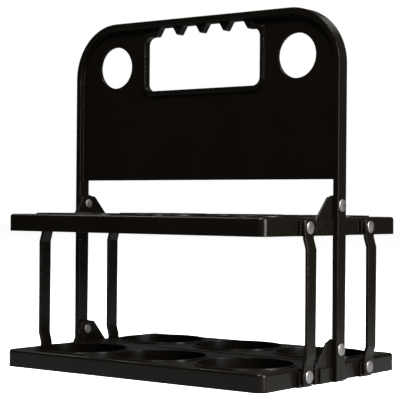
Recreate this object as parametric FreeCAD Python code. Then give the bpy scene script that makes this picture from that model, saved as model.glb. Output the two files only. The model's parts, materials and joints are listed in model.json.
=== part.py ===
import FreeCAD, Part
import math
import os

# Foldable carrier for two rows of drinking bottles.
# X runs along the rows, Y across them and Z up. The origin is on the floor, under the middle of
# the handle. Each row stands in its own half tray and passes through its own half frame. Both are
# hinged to the handle's legs, and swing up against the handle when the carrier is folded. Two arms
# tie each half tray to the half frame above it, so that they turn together.
# All sizes are in millimetres.

# Bottles and their wells
BOTTLE_DIAMETER = 73.0
BOTTLE_CLEARANCE = 1.75
BOTTLES_IN_ROW = 3
WELL_SPACING = 9.5
RING_WALL = 2.0
RING_LIP = 1.0

# Half trays and half frames, which share one section
RIM_HEIGHT = 14.5
WALL = 3.0
DECK = 2.5
FLOOR = 2.0
RIB = 2.0
SPLIT_GAP = 2.4
END_MARGIN = 8.75
SIDE_MARGIN = 6.85
CENTRE_MARGIN = 16.15
CORNER_RADIUS = 7.0
EDGE_RADIUS = 2.4

# Linkage
LINK_LENGTH = 114.0
TRAY_PIVOT_HEIGHT = 8.0
FRAME_PIVOT_HEIGHT = 6.5
ARM_PIVOT_OFFSET = 45.3
LUG_RISE = 17.3
LUG_STAND = 1.8
LUG_EYE_RADIUS = 8.0
GUSSET_RISE = 6.4
OUTER_GUSSET_REACH = 30.0
OUTER_GUSSET_TOP = 12.5
INNER_GUSSET_REACH = 17.0
INNER_GUSSET_TOP = 6.0
STOP_STAND = 3.4
OUTER_STOP_WIDTH = 18.0
INNER_STOP_WIDTH = 8.0
PAD_STAND = 3.2
PAD_MARGIN = 1.5
LAYER_GAP = 0.2
STOP_GAP = 0.3

# Arms
ARM_WIDTH = 12.8
ARM_THICKNESS = 2.6
ARM_EYE_RADIUS = 7.4
ARM_JOG = 2.4
ARM_JOG_START = 8.5
ARM_JOG_LENGTH = 8.0

# Handle
HANDLE_HEIGHT = 299.2
HANDLE_CORNER_RADIUS = 47.0
HANDLE_TOP_RIM = 5.0
LEG_THICKNESS = 4.7
LEG_WIDTH = 12.0
WEB = 2.5
PLATE_CLEARANCE = 20.8
PLATE_CORNER_RADIUS = 0.5
GRIP_HALF_LENGTH = 61.5
GRIP_BAR = 13.7
GRIP_OPENING = 47.5
GRIP_CORNER_RADIUS = 7.0
GRIP_RIM = 3.5
GRIP_DEPTH = 7.0
GRIP_SHOULDER = 11.5
FINGER_PITCH = 25.0
FINGER_COUNT = 4
FINGER_DEPTH = 7.4
FINGER_TOP_WIDTH = 13.5
FINGER_NUB_WIDTH = 2.0
FINGER_RADIUS = 1.5
HOLE_RADIUS = 18.4
HOLE_FROM_GRIP = 35.1
HOLE_FROM_TOP = 38.5

# Rivets
RIVET_RADIUS = 2.5
RIVET_CLEARANCE = 0.05
RIVET_HEAD_RADIUS = 5.0
RIVET_HEAD_HEIGHT = 1.3
RIVET_TAIL_RADIUS = 4.0
RIVET_TAIL_HEIGHT = 1.2
RIVET_PLAY = 0.1
RIVET_EDGE = 0.5

# Sizes that follow from the ones above
well_radius = BOTTLE_DIAMETER / 2 + BOTTLE_CLEARANCE
ring_radius = well_radius + RING_WALL
pitch = 2 * well_radius + WELL_SPACING
row_offset = CENTRE_MARGIN + well_radius
half_length = pitch * (BOTTLES_IN_ROW - 1) / 2 + well_radius + END_MARGIN
half_width = row_offset + well_radius + SIDE_MARGIN
inner_edge = SPLIT_GAP / 2

tray_bottom = 0.0
tray_arm_pivot = tray_bottom + TRAY_PIVOT_HEIGHT
tray_leg_pivot = tray_arm_pivot + LUG_RISE
frame_arm_pivot = tray_arm_pivot + LINK_LENGTH
frame_leg_pivot = frame_arm_pivot + LUG_RISE
frame_bottom = frame_arm_pivot - FRAME_PIVOT_HEIGHT

lug_face = half_length + LUG_STAND
stop_face = half_length + STOP_STAND
arm_start = half_length + PAD_STAND + LAYER_GAP
layer_start = lug_face + LAYER_GAP
leg_outer = layer_start + LEG_THICKNESS
arm_outer = arm_start + ARM_THICKNESS
wall_inner = half_length - WALL
stop_edge = LEG_WIDTH / 2 + STOP_GAP
plate_bottom = frame_leg_pivot + PLATE_CLEARANCE
grip_top = HANDLE_HEIGHT - GRIP_BAR
grip_bottom = grip_top - GRIP_OPENING
hole_x = GRIP_HALF_LENGTH + HOLE_FROM_GRIP
hole_z = HANDLE_HEIGHT - HOLE_FROM_TOP
rivet_hole = RIVET_RADIUS + RIVET_CLEARANCE


def vector(x, y, z):
    return FreeCAD.Vector(x, y, z)


def box(x0, x1, y0, y1, z0, z1):
    return Part.makeBox(x1 - x0, y1 - y0, z1 - z0, vector(x0, y0, z0))


def upright(radius, x, y, z0, z1):
    return Part.makeCylinder(radius, z1 - z0, vector(x, y, z0))


def rod_x(radius, x0, x1, y, z):
    return Part.makeCylinder(radius, x1 - x0, vector(x0, y, z), vector(1, 0, 0))


def rod_y(radius, x, y0, y1, z):
    return Part.makeCylinder(radius, y1 - y0, vector(x, y0, z), vector(0, 1, 0))


def rounded_face(points):
    # Each point is a vector and the radius of the arc that rounds it, tangent to both sides.
    starts = []
    edges = []
    count = len(points)
    for i, (corner, radius) in enumerate(points):
        before = (points[i - 1][0] - corner).normalize()
        after = (points[(i + 1) % count][0] - corner).normalize()
        if radius <= 0:
            starts.append((corner, corner))
            continue
        half = before.getAngle(after) / 2
        trim = radius / math.tan(half)
        middle = (before + after).normalize()
        centre = corner + middle * (radius / math.sin(half))
        first = corner + before * trim
        last = corner + after * trim
        edges.append(Part.Arc(first, centre - middle * radius, last).toShape())
        starts.append((first, last))
    for i in range(count):
        here = starts[i][1]
        there = starts[(i + 1) % count][0]
        if here.distanceToPoint(there) > 1e-6:
            edges.append(Part.LineSegment(here, there).toShape())
    return Part.Face(Part.Wire(Part.__sortEdges__(edges)))


def plate_xz(points, y0, y1):
    # A plate from y0 to y1 with an outline of (x, z, radius) points.
    face = rounded_face([(vector(x, y0, z), radius) for x, z, radius in points])
    return face.extrude(vector(0, y1 - y0, 0))


def plate_yz(points, x0, x1):
    # A plate from x0 to x1 with an outline of (y, z, radius) points.
    face = rounded_face([(vector(x0, y, z), radius) for y, z, radius in points])
    return face.extrude(vector(x1 - x0, 0, 0))


def edges_at(shape, test):
    return [edge for edge in shape.Edges if test(edge)]


def well_centres():
    first = -pitch * (BOTTLES_IN_ROW - 1) / 2
    return [first + i * pitch for i in range(BOTTLES_IN_ROW)]


def rim_shell(bottom):
    # Open-bottomed shell of one half: a skirt all round and a deck on top.
    top = bottom + RIM_HEIGHT
    block = box(-half_length, half_length, -half_width, -inner_edge, bottom, top)
    outer_corners = edges_at(
        block,
        lambda e: abs(e.tangentAt(e.FirstParameter).z) > 0.9 and e.CenterOfMass.y < -half_width + 1,
    )
    block = block.makeFillet(CORNER_RADIUS, outer_corners)
    top_edges = edges_at(block, lambda e: e.BoundBox.ZMin > top - 0.01)
    block = block.makeFillet(EDGE_RADIUS, top_edges)
    inside = box(
        -half_length + WALL,
        half_length - WALL,
        -half_width + WALL,
        -inner_edge - WALL,
        bottom - 1,
        top - DECK,
    )
    inside_corners = edges_at(
        inside,
        lambda e: abs(e.tangentAt(e.FirstParameter).z) > 0.9 and e.CenterOfMass.y < -row_offset,
    )
    inside = inside.makeFillet(CORNER_RADIUS - WALL, inside_corners)
    return block.cut(inside)


def lug(sign, x0, x1, reach, top_reach, low_edge, bottom, rim_top, pivot):
    # Upright plate at one end that carries the eye for the leg's rivet, with a sloping gusset.
    outline = [
        (-reach, bottom, 0),
        (-reach, rim_top, 2.0),
        (-top_reach, pivot + GUSSET_RISE, 3.0),
        (0, pivot + LUG_EYE_RADIUS, 0),
        (0, pivot - LUG_EYE_RADIUS, 0),
        (-low_edge, rim_top, 0),
        (-low_edge, bottom, 0),
    ]
    near, far = sorted((sign * x0, sign * x1))
    plate = plate_yz(outline, near, far)
    return plate.fuse(rod_x(LUG_EYE_RADIUS, near, far, 0, pivot))


def end_block(sign, stand, y0, y1, bottom, top):
    near, far = sorted((sign * wall_inner, sign * (half_length + stand)))
    return box(near, far, y0, y1, bottom, top)


def half_frame(bottom, arm_pivot, with_floor):
    # One half, for the row on the -Y side. The other half is the same moulding turned round.
    top = bottom + RIM_HEIGHT
    leg_pivot = arm_pivot + LUG_RISE
    skirt_top = top - EDGE_RADIUS
    body = rim_shell(bottom)
    for x in well_centres():
        body = body.fuse(upright(ring_radius, x, -row_offset, bottom, top + RING_LIP))
    for x in well_centres()[:-1]:
        rib_x = x + pitch / 2
        rib = box(
            rib_x - RIB / 2,
            rib_x + RIB / 2,
            -half_width + WALL / 2,
            -inner_edge - WALL / 2,
            bottom,
            top - DECK / 2,
        )
        body = body.fuse(rib)
    well_bottom = bottom + FLOOR if with_floor else bottom - 1
    for x in well_centres():
        body = body.cut(upright(well_radius, x, -row_offset, well_bottom, top + RING_LIP + 1))
    for sign, reach, top_reach, stop_width in (
        (1, OUTER_GUSSET_REACH, OUTER_GUSSET_TOP, OUTER_STOP_WIDTH),
        (-1, INNER_GUSSET_REACH, INNER_GUSSET_TOP, INNER_STOP_WIDTH),
    ):
        if sign > 0:
            layer = (half_length, lug_face)
            low_edge = stop_edge
        else:
            layer = (wall_inner, half_length - LAYER_GAP)
            low_edge = inner_edge
        body = body.fuse(
            lug(sign, layer[0], layer[1], reach, top_reach, low_edge, bottom, skirt_top, leg_pivot)
        )
        stop = end_block(sign, STOP_STAND, -stop_edge - stop_width, -stop_edge, bottom, skirt_top)
        pad_half = ARM_EYE_RADIUS + PAD_MARGIN
        pad = end_block(
            sign,
            PAD_STAND,
            -ARM_PIVOT_OFFSET - pad_half,
            -ARM_PIVOT_OFFSET + pad_half,
            bottom,
            skirt_top,
        )
        body = body.fuse(stop).fuse(pad)
    for sign in (1, -1):
        near, far = sorted((sign * (wall_inner - 1), sign * (stop_face + 1)))
        body = body.cut(rod_x(rivet_hole, near, far, 0, leg_pivot))
        body = body.cut(rod_x(rivet_hole, near, far, -ARM_PIVOT_OFFSET, arm_pivot))
    return body.removeSplitter()


def turned(shape):
    # The same shape turned half a turn about the vertical axis.
    copy = shape.copy()
    copy.rotate(vector(0, 0, 0), vector(0, 0, 1), 180)
    return copy


def arm():
    # Flat arm on the -Y side of the +X end, set out by a jog between its two eyes.
    low = tray_arm_pivot
    high = frame_arm_pivot
    start = ARM_JOG_START
    end = ARM_JOG_START + ARM_JOG_LENGTH
    inner = arm_start
    outer = arm_outer
    jog = ARM_JOG
    below = low - ARM_EYE_RADIUS
    above = high + ARM_EYE_RADIUS
    side = [
        (inner, below, 0),
        (outer, below, 0),
        (outer, low + start, 3.0),
        (outer + jog, low + end, 3.0),
        (outer + jog, high - end, 3.0),
        (outer, high - start, 3.0),
        (outer, above, 0),
        (inner, above, 0),
        (inner, high - start, 3.0),
        (inner + jog, high - end, 3.0),
        (inner + jog, low + end, 3.0),
        (inner, low + start, 3.0),
    ]
    y = -ARM_PIVOT_OFFSET
    strip = plate_xz(side, y - ARM_EYE_RADIUS, y + ARM_EYE_RADIUS)
    far = outer + jog
    front = box(inner, far, y - ARM_WIDTH / 2, y + ARM_WIDTH / 2, low, high)
    for z in (low, high):
        front = front.fuse(rod_x(ARM_EYE_RADIUS, inner, far, y, z))
    body = strip.common(front)
    for z in (low, high):
        body = body.cut(rod_x(rivet_hole, inner - 1, far + 1, y, z))
    return body.removeSplitter()


def handle_outline():
    r = HANDLE_CORNER_RADIUS
    return [
        (leg_outer, 0, 1.5),
        (leg_outer, HANDLE_HEIGHT, r),
        (-leg_outer, HANDLE_HEIGHT, r),
        (-leg_outer, 0, 1.5),
        (-layer_start, 0, 1.5),
        (-layer_start, plate_bottom, PLATE_CORNER_RADIUS),
        (layer_start, plate_bottom, PLATE_CORNER_RADIUS),
        (layer_start, 0, 1.5),
    ]


def grip_opening(y0, y1):
    # Hand opening whose upper side has a row of finger hollows with nubs between them.
    half_nub = FINGER_NUB_WIDTH / 2
    half_top = FINGER_TOP_WIDTH / 2
    left = -FINGER_PITCH * FINGER_COUNT / 2
    outline = [
        (GRIP_HALF_LENGTH, grip_bottom, GRIP_CORNER_RADIUS),
        (-GRIP_HALF_LENGTH, grip_bottom, GRIP_CORNER_RADIUS),
        (-GRIP_HALF_LENGTH, grip_top, GRIP_CORNER_RADIUS),
    ]
    for i in range(FINGER_COUNT):
        start = left + i * FINGER_PITCH
        middle = start + FINGER_PITCH / 2
        outline.append((start + half_nub, grip_top, FINGER_RADIUS))
        outline.append((middle - half_top, grip_top + FINGER_DEPTH, FINGER_RADIUS))
        outline.append((middle + half_top, grip_top + FINGER_DEPTH, FINGER_RADIUS))
        outline.append((start + FINGER_PITCH - half_nub, grip_top, FINGER_RADIUS))
    outline.append((GRIP_HALF_LENGTH, grip_top, GRIP_CORNER_RADIUS))
    return plate_xz(outline, y0, y1)


def grip_border(y0, y1):
    # Thick border round the hand opening. Above its shoulders it joins the top rim.
    side = GRIP_HALF_LENGTH + GRIP_RIM
    shoulder = side - GRIP_SHOULDER
    low = grip_bottom - GRIP_RIM
    high = grip_top + GRIP_RIM
    top = HANDLE_HEIGHT - HANDLE_TOP_RIM / 2
    radius = GRIP_CORNER_RADIUS + GRIP_RIM
    outline = [
        (side, low, radius),
        (side, high, radius / 2),
        (shoulder, high, GRIP_RIM / 2),
        (shoulder, top, 0),
        (-shoulder, top, 0),
        (-shoulder, high, GRIP_RIM / 2),
        (-side, high, radius / 2),
        (-side, low, radius),
    ]
    return plate_xz(outline, y0, y1)


def pocket(y0, y1):
    # Hollow on one face, inside the rim.
    radius = HANDLE_CORNER_RADIUS - HANDLE_TOP_RIM
    top = HANDLE_HEIGHT - HANDLE_TOP_RIM
    outline = [
        (layer_start, plate_bottom - 1, 0),
        (layer_start, top, radius),
        (-layer_start, top, radius),
        (-layer_start, plate_bottom - 1, 0),
    ]
    return plate_xz(outline, y0, y1)


def handle():
    half = LEG_WIDTH / 2
    body = plate_xz(handle_outline(), -half, half)
    body = body.cut(pocket(-half - 1, -WEB / 2))
    body = body.cut(pocket(WEB / 2, half + 1))
    body = body.fuse(grip_border(-GRIP_DEPTH / 2, GRIP_DEPTH / 2))
    body = body.cut(grip_opening(-half - 1, half + 1))
    for x in (hole_x, -hole_x):
        body = body.cut(rod_y(HOLE_RADIUS, x, -half - 1, half + 1, hole_z))
    reach = leg_outer + 1
    for z in (tray_leg_pivot, frame_leg_pivot):
        body = body.cut(rod_x(rivet_hole, -reach, reach, 0, z))
    return body.removeSplitter()


def rivet(outer_face, y, z):
    # Rivet at the +X end: a low head outside, a shank, and a formed tail inside the wall.
    head_start = outer_face + RIVET_PLAY
    tail_end = wall_inner - RIVET_PLAY
    head = rod_x(RIVET_HEAD_RADIUS, head_start, head_start + RIVET_HEAD_HEIGHT, y, z)
    rim = edges_at(head, lambda e: e.BoundBox.XMin > head_start + RIVET_HEAD_HEIGHT - 0.01)
    head = head.makeFillet(RIVET_EDGE * 2, rim)
    tail = rod_x(RIVET_TAIL_RADIUS, tail_end - RIVET_TAIL_HEIGHT, tail_end, y, z)
    rim = edges_at(tail, lambda e: e.BoundBox.XMax < tail_end - RIVET_TAIL_HEIGHT + 0.01)
    tail = tail.makeFillet(RIVET_EDGE, rim)
    shank = rod_x(RIVET_RADIUS, tail_end - RIVET_TAIL_HEIGHT / 2, head_start + RIVET_EDGE, y, z)
    return head.fuse(shank).fuse(tail).removeSplitter()


def mirrored(shape, normal):
    return shape.mirror(vector(0, 0, 0), normal)


def build():
    parts = {}
    parts["handle"] = handle()
    tray = half_frame(tray_bottom, tray_arm_pivot, True)
    frame = half_frame(frame_bottom, frame_arm_pivot, False)
    parts["front_tray"] = tray
    parts["rear_tray"] = turned(tray)
    parts["front_top_frame"] = frame
    parts["rear_top_frame"] = turned(frame)
    one_arm = arm()
    levels = (("lower", tray_arm_pivot, tray_leg_pivot), ("upper", frame_arm_pivot, frame_leg_pivot))
    for end in ("right", "left"):
        for row in ("front", "rear"):
            shapes = {"arm_%s_%s" % (row, end): one_arm}
            for level, arm_pivot, _ in levels:
                name = "arm_rivet_%s_%s_%s" % (row, end, level)
                shapes[name] = rivet(arm_outer, -ARM_PIVOT_OFFSET, arm_pivot)
            for name, shape in shapes.items():
                if end == "left":
                    shape = mirrored(shape, vector(1, 0, 0))
                if row == "rear":
                    shape = mirrored(shape, vector(0, 1, 0))
                parts[name] = shape
        for level, _, leg_pivot in levels:
            shape = rivet(leg_outer, 0, leg_pivot)
            if end == "left":
                shape = mirrored(shape, vector(1, 0, 0))
            parts["leg_rivet_%s_%s" % (end, level)] = shape
    return parts


def main():
    os.makedirs("parts", exist_ok=True)
    for name, shape in build().items():
        shape.exportStep("parts/%s.step" % name)
        solids = len(shape.Solids)
        valid = shape.isValid()
        print("%-30s solids %d valid %s volume %.0f" % (name, solids, valid, shape.Volume))


main()
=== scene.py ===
import json
import math

import bmesh
import bpy
import numpy as np
from bpy.props import FloatProperty, FloatVectorProperty, IntProperty, PointerProperty
from mathutils import Matrix, Vector


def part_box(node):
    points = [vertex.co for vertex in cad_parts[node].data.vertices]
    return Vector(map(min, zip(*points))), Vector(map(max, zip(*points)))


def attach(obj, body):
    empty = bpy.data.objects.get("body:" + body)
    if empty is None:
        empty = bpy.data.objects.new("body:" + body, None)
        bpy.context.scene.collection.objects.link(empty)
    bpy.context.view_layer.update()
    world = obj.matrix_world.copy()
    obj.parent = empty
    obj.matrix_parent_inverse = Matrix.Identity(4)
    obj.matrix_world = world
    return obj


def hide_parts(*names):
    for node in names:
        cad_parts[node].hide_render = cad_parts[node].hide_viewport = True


bl_info = {
    "name": "Foldable bottle carrier",
    "version": (1, 0, 0),
    "blender": (4, 5, 0),
    "location": "View3D > Sidebar > Carrier",
    "description": "Builds the looks of a foldable bottle carrier on its packed frame",
    "category": "Object",
}

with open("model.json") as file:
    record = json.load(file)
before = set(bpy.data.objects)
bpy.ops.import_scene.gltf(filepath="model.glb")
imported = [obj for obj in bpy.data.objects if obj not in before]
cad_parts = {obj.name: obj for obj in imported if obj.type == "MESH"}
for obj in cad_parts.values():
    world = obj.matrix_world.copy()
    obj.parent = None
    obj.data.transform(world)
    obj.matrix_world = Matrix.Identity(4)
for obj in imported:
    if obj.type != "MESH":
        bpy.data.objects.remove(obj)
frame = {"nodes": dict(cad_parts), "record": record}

# Mesh finish: faces that bend by less are one flat face, edges that bend by more are rounded,
# and edges that bend by more than the crisp angles keep a crisp line in the shading
FLAT_ANGLE = math.radians(0.4)
ROUNDED_ANGLE = math.radians(32)
CRISP_ANGLE = math.radians(38)
RIVET_CRISP_ANGLE = math.radians(40)

# Samples of the shading that rounds the edges
EDGE_SAMPLES = 6

# Part of a noise's range that is spread over a finish
NOISE_LOW = 0.3
NOISE_HIGH = 0.7

# Black plastic
FLOW_MARK_SCALE = 90.0
FLOW_MARK_DEPTH = 0.00004
FLOW_MARK_STRENGTH = 0.25
GRAIN_STRENGTH = 0.35
HANDLING_SCALE = 22.0
HANDLED_PALER = 1.5
HANDLED_SMOOTHER = 0.05
HANDLED_ROUGHER = 0.06
FLOW_ALONG_X = (0.15, 1.0, 1.0)
FLOW_ALONG_Z = (1.0, 1.0, 0.15)

# Rivet metal
TURNED_SCALE = 2400.0
TURNED_DEPTH = 0.00002
DENT_SCALE = 420.0
DENT_DEPTH = 0.00008
METAL_STRENGTH = 0.3
TARNISH_SCALE = 160.0
TARNISH_DARKER = 0.82
TARNISH_SPREAD = 0.08

# Rivet shape: steps of one curve, and shares of the head's and the tail's height
CURVE_STEPS = 9
HEAD_RIM_SHARE = 0.5
TAIL_SOFT_SHARE = 0.4

# Floor: its finish, and how its light on the object fades with the distance from the middle
FLOOR_GREY = 0.93
FLOOR_ROUGHNESS = 0.9
FLOOR_SHINE = 0.1
FLOOR_NEAR = 0.25
FLOOR_FAR = 0.9
FLOOR_FAR_SHARE = 0.05

# Place of each light, and its size across and up
LIGHTS = {
    "key": ((0.4, -0.7, 1.25), (0.4, 0.4)),
    "strip": ((1.17, 0.03, 0.3), (0.35, 1.2)),
    "side": ((-0.95, 0.0, 1.35), (0.3, 0.6)),
    "back": ((0.0, 1.2, 1.05), (0.5, 0.3)),
    "top": ((0.1, 0.1, 1.5), (1.0, 0.7)),
}
LIGHT_AIM = (0.0, 0.0, 0.15)

# Camera: the width of its sensor in mm, and how near and far it sees
SENSOR_WIDTH = 36.0
NEAREST_SEEN = 0.05
FARTHEST_SEEN = 50.0


class MouldingSettings(bpy.types.PropertyGroup):
    """Sizes and finish of the moulded plastic pieces."""

    edge: FloatProperty(
        name="Edge softening",
        description="Rounding of a moulded edge, in the shading and, where there is room, the mesh",
        default=0.0008,
        min=0.0,
        unit="LENGTH",
    )
    handle_edge: FloatProperty(
        name="Handle edge softening",
        description="Rounding of a handle edge, in the shading and, where there is room, the mesh",
        default=0.0016,
        min=0.0,
        unit="LENGTH",
    )
    shine: FloatProperty(
        name="Shine",
        description="Strength of the plastic's reflection",
        default=0.13,
        min=0.0,
        max=1.0,
        subtype="FACTOR",
    )
    steps: IntProperty(
        name="Edge steps",
        description="Number of strips that round one edge",
        default=3,
        min=1,
        max=6,
    )
    weld: FloatProperty(
        name="Weld distance",
        description="Points closer than this are joined before the edges are rounded",
        default=0.000002,
        min=0.0,
        unit="LENGTH",
    )
    colour: FloatVectorProperty(
        name="Colour",
        description="Base colour of the black plastic",
        default=(0.0028, 0.0021, 0.0013),
        min=0.0,
        max=1.0,
        size=3,
        subtype="COLOR",
    )
    roughness: FloatProperty(
        name="Roughness",
        description="Middle roughness of the semi-gloss plastic",
        default=0.25,
        min=0.0,
        max=1.0,
        subtype="FACTOR",
    )
    grain: FloatProperty(
        name="Grain size",
        description="Size of one grain of the moulded surface",
        default=0.0006,
        min=0.0001,
        unit="LENGTH",
    )
    relief: FloatProperty(
        name="Grain depth",
        description="Depth of the grain on the surface",
        default=0.00002,
        min=0.0,
        unit="LENGTH",
    )


class RivetSettings(bpy.types.PropertyGroup):
    """Shape and finish of the rivets."""

    around: IntProperty(
        name="Steps around",
        description="Number of steps around one rivet",
        default=64,
        min=12,
    )
    dome: FloatProperty(
        name="Dome",
        description="How much lower the head's rim is than its middle",
        default=0.00035,
        min=0.0,
        unit="LENGTH",
    )
    shank: FloatProperty(
        name="Shank radius",
        description="Radius of the shank that runs through the holes",
        default=0.0025,
        min=0.0005,
        unit="LENGTH",
    )
    head: FloatProperty(
        name="Head height",
        description="Height of the head over the piece that it holds",
        default=0.0013,
        min=0.0002,
        unit="LENGTH",
    )
    tail: FloatProperty(
        name="Tail height",
        description="Height of the formed tail inside the wall",
        default=0.0012,
        min=0.0002,
        unit="LENGTH",
    )
    tail_radius: FloatProperty(
        name="Tail radius",
        description="Radius of the formed tail",
        default=0.004,
        min=0.0005,
        unit="LENGTH",
    )
    colour: FloatVectorProperty(
        name="Colour",
        description="Colour of the satin metal",
        default=(0.28, 0.27, 0.265),
        min=0.0,
        max=1.0,
        size=3,
        subtype="COLOR",
    )
    roughness: FloatProperty(
        name="Roughness",
        description="Middle roughness of the satin metal",
        default=0.42,
        min=0.0,
        max=1.0,
        subtype="FACTOR",
    )


class StageSettings(bpy.types.PropertyGroup):
    """Camera, light and floor."""

    camera: FloatVectorProperty(
        name="Camera place",
        description="Where the camera stands, over the floor",
        default=(0.7026, -0.9195, 0.1387),
        size=3,
        subtype="TRANSLATION",
        unit="LENGTH",
    )
    heading: FloatProperty(
        name="Heading",
        description="How far the camera's aim is turned from the rear towards the left",
        default=math.radians(37.36),
        subtype="ANGLE",
        unit="ROTATION",
    )
    pitch: FloatProperty(
        name="Pitch",
        description="How far the camera looks up",
        default=math.radians(0.19),
        subtype="ANGLE",
        unit="ROTATION",
    )
    roll: FloatProperty(
        name="Roll",
        description="How far the camera is rolled to the left",
        default=math.radians(0.48),
        subtype="ANGLE",
        unit="ROTATION",
    )
    lens: FloatProperty(
        name="Lens",
        description="Focal length for a sensor 36 mm wide",
        default=122.085,
        min=1.0,
        unit="CAMERA",
    )
    shift: FloatVectorProperty(
        name="Shift",
        description="Shift of the picture across and up, as a share of its width",
        default=(-0.0056, 0.0015),
        size=2,
    )
    floor: FloatProperty(
        name="Floor size",
        description="Half of the floor's side",
        default=6.0,
        min=0.5,
        unit="LENGTH",
    )
    backdrop: FloatProperty(
        name="Backdrop",
        description="Brightness of the white backdrop that the camera sees",
        default=1.0,
        min=0.0,
    )
    sky: FloatProperty(
        name="Surrounding light",
        description="Strength of the even white light from all round",
        default=0.06,
        min=0.0,
    )
    glow: FloatProperty(
        name="Floor glow",
        description="How brightly the white floor shines at the camera",
        default=0.9,
        min=0.0,
    )
    bounce: FloatProperty(
        name="Floor bounce",
        description="How brightly the white floor shines at the object",
        default=0.9,
        min=0.0,
    )
    key: FloatProperty(
        name="Key light",
        description="Power of the soft light high in front of the object",
        default=26.0,
        min=0.0,
        unit="POWER",
    )
    strip: FloatProperty(
        name="Strip light",
        description="Power of the tall light beside the object's right end",
        default=42.0,
        min=0.0,
        unit="POWER",
    )
    side: FloatProperty(
        name="Side light",
        description="Power of the soft light high on the left",
        default=6.0,
        min=0.0,
        unit="POWER",
    )
    back: FloatProperty(
        name="Back light",
        description="Power of the soft light high behind the object",
        default=0.4,
        min=0.0,
        unit="POWER",
    )
    top: FloatProperty(
        name="Top light",
        description="Power of the soft light overhead",
        default=10.0,
        min=0.0,
        unit="POWER",
    )


def link(mesh, name, body, material, node):
    """Makes the object of a finished mesh, which rides on a body and stands for one node."""
    obj = bpy.data.objects.new(name, mesh)
    bpy.context.scene.collection.objects.link(obj)
    mesh.materials.clear()
    mesh.materials.append(material)
    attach(obj, body)
    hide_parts(node)
    return obj


def noise(tree, coords, scale, detail, place):
    """A noise texture on the given coordinates."""
    node = tree.nodes.new("ShaderNodeTexNoise")
    node.location = place
    node.inputs["Scale"].default_value = scale
    node.inputs["Detail"].default_value = detail
    tree.links.new(coords, node.inputs["Vector"])
    return node.outputs["Fac"]


def remap(tree, value, low, high, place):
    """Spreads the middle part of a noise's range over low to high."""
    node = tree.nodes.new("ShaderNodeMapRange")
    node.location = place
    node.inputs["From Min"].default_value = NOISE_LOW
    node.inputs["From Max"].default_value = NOISE_HIGH
    node.inputs["To Min"].default_value = low
    node.inputs["To Max"].default_value = high
    tree.links.new(value, node.inputs["Value"])
    return node.outputs["Result"]


def mix_colour(tree, fac, first, second, place):
    """Mixes two plain colours by a factor."""
    node = tree.nodes.new("ShaderNodeMix")
    node.data_type = "RGBA"
    node.location = place
    node.inputs["A"].default_value = (*first, 1.0)
    node.inputs["B"].default_value = (*second, 1.0)
    tree.links.new(fac, node.inputs["Factor"])
    return node.outputs["Result"]


def start_material(name):
    """An empty material with its shader and object coordinates."""
    material = bpy.data.materials.new(name)
    material.use_nodes = True
    tree = material.node_tree
    shader = tree.nodes["Principled BSDF"]
    coords = tree.nodes.new("ShaderNodeTexCoord")
    coords.location = (-1200, 0)
    return material, tree, shader, coords.outputs["Object"]


def rounded(tree, radius):
    """Shading normals that round the edges by a radius."""
    node = tree.nodes.new("ShaderNodeBevel")
    node.location = (-800, -900)
    node.samples = EDGE_SAMPLES
    node.inputs["Radius"].default_value = radius
    return node.outputs["Normal"]


def add_bump(tree, shader, heights, normal=None):
    """Stacks (height, distance, strength) bumps, one on the next."""
    for i, (height, distance, strength) in enumerate(heights):
        bump = tree.nodes.new("ShaderNodeBump")
        bump.location = (-400 + 200 * i, -400)
        bump.inputs["Distance"].default_value = distance
        bump.inputs["Strength"].default_value = strength
        tree.links.new(height, bump.inputs["Height"])
        if normal is not None:
            tree.links.new(normal, bump.inputs["Normal"])
        normal = bump.outputs["Normal"]
    tree.links.new(normal, shader.inputs["Normal"])


def plastic(name, settings, flow, edge_width):
    """Black moulded plastic: a fine grain, faint flow marks along one axis and handling marks."""
    material, tree, shader, coords = start_material(name)
    stretch = tree.nodes.new("ShaderNodeMapping")
    stretch.location = (-1000, -300)
    stretch.inputs["Scale"].default_value = flow
    tree.links.new(coords, stretch.inputs["Vector"])
    grain = noise(tree, coords, 1.0 / settings.grain, detail=3.0, place=(-800, -300))
    marks = noise(tree, stretch.outputs["Vector"], FLOW_MARK_SCALE, detail=6.0, place=(-800, -600))
    cloud = noise(tree, coords, HANDLING_SCALE, detail=5.0, place=(-800, 200))
    colour = tuple(settings.colour)
    paler = tuple(HANDLED_PALER * c for c in colour)
    tree.links.new(mix_colour(tree, cloud, colour, paler, (-400, 300)), shader.inputs["Base Color"])
    smooth = settings.roughness - HANDLED_SMOOTHER
    dull = settings.roughness + HANDLED_ROUGHER
    rough = remap(tree, cloud, smooth, dull, (-400, 0))
    tree.links.new(rough, shader.inputs["Roughness"])
    shader.inputs["Specular IOR Level"].default_value = settings.shine
    heights = [
        (marks, FLOW_MARK_DEPTH, FLOW_MARK_STRENGTH),
        (grain, settings.relief, GRAIN_STRENGTH),
    ]
    add_bump(tree, shader, heights, rounded(tree, edge_width))
    return material


def satin_metal(name, settings):
    """Satin metal: a fine turned grain, clouded roughness and small dents."""
    material, tree, shader, coords = start_material(name)
    grain = noise(tree, coords, TURNED_SCALE, detail=4.0, place=(-800, -300))
    dents = noise(tree, coords, DENT_SCALE, detail=3.0, place=(-800, -600))
    cloud = noise(tree, coords, TARNISH_SCALE, detail=4.0, place=(-800, 200))
    colour = tuple(settings.colour)
    darker = tuple(TARNISH_DARKER * c for c in colour)
    tree.links.new(mix_colour(tree, cloud, colour, darker, (-400, 300)), shader.inputs["Base Color"])
    smooth = settings.roughness - TARNISH_SPREAD
    dull = settings.roughness + TARNISH_SPREAD
    rough = remap(tree, cloud, smooth, dull, (-400, 0))
    tree.links.new(rough, shader.inputs["Roughness"])
    shader.inputs["Metallic"].default_value = 1.0
    heights = [(dents, DENT_DEPTH, METAL_STRENGTH), (grain, TURNED_DEPTH, METAL_STRENGTH)]
    add_bump(tree, shader, heights)
    return material


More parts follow.
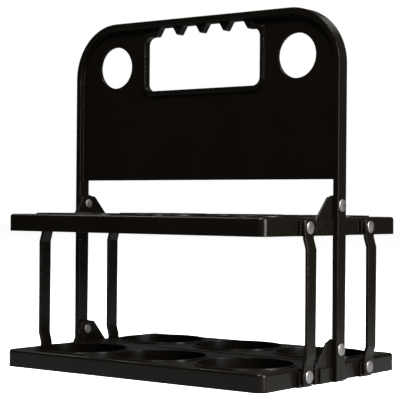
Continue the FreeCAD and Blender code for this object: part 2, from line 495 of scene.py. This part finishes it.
def soften(node, name, settings, edge_width):
    """A copy of a node's mesh with its seams joined, flat faces merged and sharp edges rounded."""
    work = bmesh.new()
    work.from_mesh(frame["nodes"][node].data)
    bmesh.ops.remove_doubles(work, verts=work.verts, dist=settings.weld)
    bmesh.ops.dissolve_limit(work, angle_limit=FLAT_ANGLE, verts=work.verts, edges=work.edges)
    sharp = [
        edge
        for edge in work.edges
        if len(edge.link_faces) == 2 and edge.calc_face_angle(0.0) > ROUNDED_ANGLE
    ]
    bmesh.ops.bevel(
        work,
        geom=sharp,
        offset=edge_width,
        offset_type="OFFSET",
        segments=settings.steps,
        profile=0.5,
        affect="EDGES",
        clamp_overlap=True,
        miter_outer="ARC",
    )
    bmesh.ops.triangulate(work, faces=[face for face in work.faces if len(face.verts) > 4])
    mesh = bpy.data.meshes.new(name)
    work.to_mesh(mesh)
    work.free()
    mesh.shade_smooth()
    mesh.set_sharp_from_angle(angle=CRISP_ANGLE)
    holder = bpy.data.objects.new(name + "_work", mesh)
    bpy.context.scene.collection.objects.link(holder)
    weighted = holder.modifiers.new("weighted", "WEIGHTED_NORMAL")
    weighted.weight = 100
    weighted.keep_sharp = True
    graph = bpy.context.evaluated_depsgraph_get()
    done = bpy.data.meshes.new_from_object(holder.evaluated_get(graph))
    done.name = name
    bpy.data.objects.remove(holder)
    return done


def moulded(node, body, settings, edge_width, material):
    """One moulded plastic piece, which stands for its node."""
    name = node + "_moulded"
    mesh = soften(node, name, settings, edge_width)
    return link(mesh, name, body, material, node)


def revolve(profile, around, centre, sign):
    """Turns a closed (distance along X, radius) profile round an axis along X.

    A point at distance a, radius r and turn t lies at x = sign * a,
    y = centre y + r * cos(t) and z = centre z + r * sin(t).
    """
    profile = np.asarray(profile, float)
    turn = np.linspace(0.0, 2.0 * math.pi, around, endpoint=False)
    along = np.repeat(profile[1:-1, 0], around)
    radius = np.repeat(profile[1:-1, 1], around)
    turns = np.tile(turn, len(profile) - 2)
    ring_points = np.column_stack(
        (
            sign * along,
            centre[0] + radius * np.cos(turns),
            centre[1] + radius * np.sin(turns),
        )
    )
    first = np.array([[sign * profile[0, 0], centre[0], centre[1]]])
    last = np.array([[sign * profile[-1, 0], centre[0], centre[1]]])
    points = np.vstack((ring_points, first, last))
    rings = len(profile) - 2
    row, column = np.meshgrid(np.arange(rings - 1), np.arange(around), indexing="ij")
    here = (row * around + column).ravel()
    beside = (row * around + (column + 1) % around).ravel()
    quads = np.column_stack((here, beside, beside + around, here + around))
    step = np.arange(around)
    start = np.full(around, rings * around)
    fan = np.column_stack((start, (step + 1) % around, step))
    base = (rings - 1) * around
    close = np.column_stack((start + 1, base + step, base + (step + 1) % around))
    faces = quads.tolist() + fan.tolist() + close.tolist()
    if sign < 0:
        faces = [face[::-1] for face in faces]
    return points, faces


def rivet_profile(low, high, radius, settings):
    """Closed profile of a rivet from the middle of its head to the middle of its tail."""
    head = settings.head
    rim = HEAD_RIM_SHARE * head
    turn = np.linspace(0.0, 0.5 * math.pi, CURVE_STEPS)
    flat = radius - rim
    share = np.linspace(0.0, 1.0, CURVE_STEPS)[:-1]
    dome = np.column_stack((high - settings.dome * share**2, flat * share))
    drop = high - settings.dome - rim
    edge = np.column_stack((drop + rim * np.cos(turn), flat + rim * np.sin(turn)))
    tail = low + settings.tail
    under = high - head
    soft = TAIL_SOFT_SHARE * settings.tail
    end = settings.tail_radius - soft
    foot = np.column_stack((low + soft - soft * np.sin(turn), end + soft * np.cos(turn)))
    inner = [
        (under, radius),
        (under, settings.shank),
        (tail, settings.shank),
        (tail, settings.tail_radius),
    ]
    return np.vstack((dome, edge, inner, foot, [(low, 0.0)]))


def rivet(node, body, settings, material):
    """One rivet with a domed head, a shank and a formed tail."""
    low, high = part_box(node)
    sign = 1.0 if low.x + high.x > 0 else -1.0
    near, far = sorted((abs(low.x), abs(high.x)))
    centre = ((low.y + high.y) / 2, (low.z + high.z) / 2)
    profile = rivet_profile(near, far, (high.z - low.z) / 2, settings)
    points, faces = revolve(profile, settings.around, centre, sign)
    name = node + "_turned"
    mesh = bpy.data.meshes.new(name)
    mesh.from_pydata(points.tolist(), [], faces)
    work = bmesh.new()
    work.from_mesh(mesh)
    bmesh.ops.recalc_face_normals(work, faces=work.faces)
    work.to_mesh(mesh)
    work.free()
    mesh.shade_smooth()
    mesh.set_sharp_from_angle(angle=RIVET_CRISP_ANGLE)
    return link(mesh, name, body, material, node)


def body_of(node):
    """Name of the body that holds a node."""
    groups = frame["record"]["behaviour"]["bodies"]
    return next(body for body, members in groups.items() if node in members)


def build_moulded(settings, nodes, label, flow, edge_width):
    """Builds like moulded pieces with one plastic between them."""
    material = plastic(label + " plastic", settings, flow, edge_width)
    for node in nodes:
        moulded(node, body_of(node), settings, edge_width, material)
    return {"FINISHED"}


class CARRIER_OT_handle(bpy.types.Operator):
    """Build the handle with its legs, web, hand opening and round holes."""

    bl_idname = "carrier.handle"
    bl_label = "Handle"

    def execute(self, context):
        settings = context.scene.carrier_moulding
        return build_moulded(settings, ["handle"], "Handle", FLOW_ALONG_Z, settings.handle_edge)


class CARRIER_OT_trays(bpy.types.Operator):
    """Build the two half trays with their wells."""

    bl_idname = "carrier.trays"
    bl_label = "Trays"

    def execute(self, context):
        settings = context.scene.carrier_moulding
        nodes = ["front_tray", "rear_tray"]
        return build_moulded(settings, nodes, "Tray", FLOW_ALONG_X, settings.edge)


class CARRIER_OT_frames(bpy.types.Operator):
    """Build the two half frames with their rings."""

    bl_idname = "carrier.frames"
    bl_label = "Top frames"

    def execute(self, context):
        settings = context.scene.carrier_moulding
        nodes = ["front_top_frame", "rear_top_frame"]
        return build_moulded(settings, nodes, "Frame", FLOW_ALONG_X, settings.edge)


class CARRIER_OT_arms(bpy.types.Operator):
    """Build the four jogged arms."""

    bl_idname = "carrier.arms"
    bl_label = "Arms"

    def execute(self, context):
        settings = context.scene.carrier_moulding
        nodes = sorted(n for n in frame["nodes"] if n.startswith("arm_") and "rivet" not in n)
        return build_moulded(settings, nodes, "Arm", FLOW_ALONG_Z, settings.edge)


class CARRIER_OT_rivets(bpy.types.Operator):
    """Build the rivets of the arms and of the legs."""

    bl_idname = "carrier.rivets"
    bl_label = "Rivets"

    def execute(self, context):
        settings = context.scene.carrier_rivet
        material = satin_metal("Rivet metal", settings)
        for node in sorted(n for n in frame["nodes"] if "rivet" in n):
            rivet(node, body_of(node), settings, material)
        return {"FINISHED"}


def area_light(name, place, aim, size, power):
    """A soft rectangular light that faces a point."""
    data = bpy.data.lights.new(name, "AREA")
    data.shape = "RECTANGLE"
    data.size, data.size_y = size
    data.energy = power
    obj = bpy.data.objects.new(name, data)
    obj.location = place
    obj.rotation_euler = (Vector(aim) - Vector(place)).to_track_quat("-Z", "Y").to_euler()
    bpy.context.scene.collection.objects.link(obj)


def white_world(backdrop, strength):
    """A white backdrop for the camera, and even dimmer light from all round for the object."""
    world = bpy.data.worlds.new("Studio")
    world.use_nodes = True
    tree = world.node_tree
    light = tree.nodes["Background"]
    light.inputs["Color"].default_value = (1.0, 1.0, 1.0, 1.0)
    light.inputs["Strength"].default_value = strength
    seen = tree.nodes.new("ShaderNodeBackground")
    seen.location = (0, -200)
    seen.inputs["Color"].default_value = (1.0, 1.0, 1.0, 1.0)
    seen.inputs["Strength"].default_value = backdrop
    path = tree.nodes.new("ShaderNodeLightPath")
    path.location = (0, 400)
    mix = tree.nodes.new("ShaderNodeMixShader")
    mix.location = (300, 0)
    tree.links.new(path.outputs["Is Camera Ray"], mix.inputs["Fac"])
    tree.links.new(light.outputs["Background"], mix.inputs[1])
    tree.links.new(seen.outputs["Background"], mix.inputs[2])
    tree.links.new(mix.outputs["Shader"], tree.nodes["World Output"].inputs["Surface"])
    bpy.context.scene.world = world


def pale_floor(half, glow, bounce):
    """A plain pale square floor at z = 0: white for the camera, dimmer with distance for the rest."""
    mesh = bpy.data.meshes.new("floor")
    points = [(-half, -half, 0), (half, -half, 0), (half, half, 0), (-half, half, 0)]
    mesh.from_pydata(points, [], [(0, 1, 2, 3)])
    material, tree, shader, coords = start_material("Floor")
    shader.inputs["Base Color"].default_value = (FLOOR_GREY, FLOOR_GREY, FLOOR_GREY, 1.0)
    shader.inputs["Roughness"].default_value = FLOOR_ROUGHNESS
    shader.inputs["Specular IOR Level"].default_value = FLOOR_SHINE
    shader.inputs["Emission Color"].default_value = (1.0, 1.0, 1.0, 1.0)
    shader.inputs["Emission Strength"].default_value = glow
    reach = tree.nodes.new("ShaderNodeVectorMath")
    reach.operation = "LENGTH"
    reach.location = (-900, -500)
    tree.links.new(coords, reach.inputs[0])
    fade = tree.nodes.new("ShaderNodeMapRange")
    fade.location = (-600, -500)
    fade.inputs["From Min"].default_value = FLOOR_NEAR
    fade.inputs["From Max"].default_value = FLOOR_FAR
    fade.inputs["To Min"].default_value = bounce
    fade.inputs["To Max"].default_value = FLOOR_FAR_SHARE * bounce
    tree.links.new(reach.outputs["Value"], fade.inputs["Value"])
    dim = tree.nodes.new("ShaderNodeEmission")
    dim.location = (-300, -500)
    tree.links.new(fade.outputs["Result"], dim.inputs["Strength"])
    path = tree.nodes.new("ShaderNodeLightPath")
    path.location = (0, 500)
    mix = tree.nodes.new("ShaderNodeMixShader")
    mix.location = (400, 0)
    tree.links.new(path.outputs["Is Camera Ray"], mix.inputs["Fac"])
    tree.links.new(dim.outputs["Emission"], mix.inputs[1])
    tree.links.new(shader.outputs["BSDF"], mix.inputs[2])
    tree.links.new(mix.outputs["Shader"], tree.nodes["Material Output"].inputs["Surface"])
    mesh.materials.append(material)
    obj = bpy.data.objects.new("floor", mesh)
    bpy.context.scene.collection.objects.link(obj)


def place_camera(settings):
    """Camera at the photo's angle: aim first, then the roll round the line of sight."""
    data = bpy.data.cameras.new("camera")
    data.sensor_width = SENSOR_WIDTH
    data.lens = settings.lens
    data.shift_x, data.shift_y = settings.shift
    data.clip_start = NEAREST_SEEN
    data.clip_end = FARTHEST_SEEN
    camera = bpy.data.objects.new("camera", data)
    level = math.cos(settings.pitch)
    forward = Vector(
        (
            -math.sin(settings.heading) * level,
            math.cos(settings.heading) * level,
            math.sin(settings.pitch),
        )
    )
    across = forward.cross(Vector((0.0, 0.0, 1.0))).normalized()
    up = across.cross(forward)
    right = across * math.cos(settings.roll) + up * math.sin(settings.roll)
    top = right.cross(forward)
    turn = Matrix((right, top, -forward)).transposed().to_4x4()
    camera.matrix_world = Matrix.Translation(settings.camera) @ turn
    bpy.context.scene.collection.objects.link(camera)
    bpy.context.scene.camera = camera


class CARRIER_OT_stage(bpy.types.Operator):
    """Build the camera, the lights, the white surroundings and the pale floor."""

    bl_idname = "carrier.stage"
    bl_label = "Stage"

    def execute(self, context):
        settings = context.scene.carrier_stage
        place_camera(settings)
        white_world(settings.backdrop, settings.sky)
        pale_floor(settings.floor, settings.glow, settings.bounce)
        for name, (place, size) in LIGHTS.items():
            area_light(name, place, LIGHT_AIM, size, getattr(settings, name))
        context.scene.view_settings.view_transform = "Standard"
        return {"FINISHED"}


class CARRIER_PT_panel(bpy.types.Panel):
    """Sidebar panel with one button for each step."""

    bl_idname = "CARRIER_PT_panel"
    bl_label = "Bottle carrier"
    bl_space_type = "VIEW_3D"
    bl_region_type = "UI"
    bl_category = "Carrier"

    def draw(self, context):
        for operator in OPERATORS:
            self.layout.operator(operator.bl_idname)


GROUPS = (
    (MouldingSettings, "carrier_moulding"),
    (RivetSettings, "carrier_rivet"),
    (StageSettings, "carrier_stage"),
)
OPERATORS = (
    CARRIER_OT_handle,
    CARRIER_OT_trays,
    CARRIER_OT_frames,
    CARRIER_OT_arms,
    CARRIER_OT_rivets,
    CARRIER_OT_stage,
)


def register():
    """Registers the settings, the operators and the panel."""
    for group, name in GROUPS:
        bpy.utils.register_class(group)
        setattr(bpy.types.Scene, name, PointerProperty(type=group))
    for operator in OPERATORS:
        bpy.utils.register_class(operator)
    bpy.utils.register_class(CARRIER_PT_panel)


def unregister():
    """Removes what register() added, in the opposite order."""
    bpy.utils.unregister_class(CARRIER_PT_panel)
    for operator in reversed(OPERATORS):
        bpy.utils.unregister_class(operator)
    for group, name in reversed(GROUPS):
        delattr(bpy.types.Scene, name)
        bpy.utils.unregister_class(group)


def main():
    """Builds every piece and the stage."""
    register()
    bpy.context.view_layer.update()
    bpy.ops.carrier.handle()
    bpy.ops.carrier.trays()
    bpy.ops.carrier.frames()
    bpy.ops.carrier.arms()
    bpy.ops.carrier.rivets()
    bpy.ops.carrier.stage()


if __name__ == "__main__":
    main()
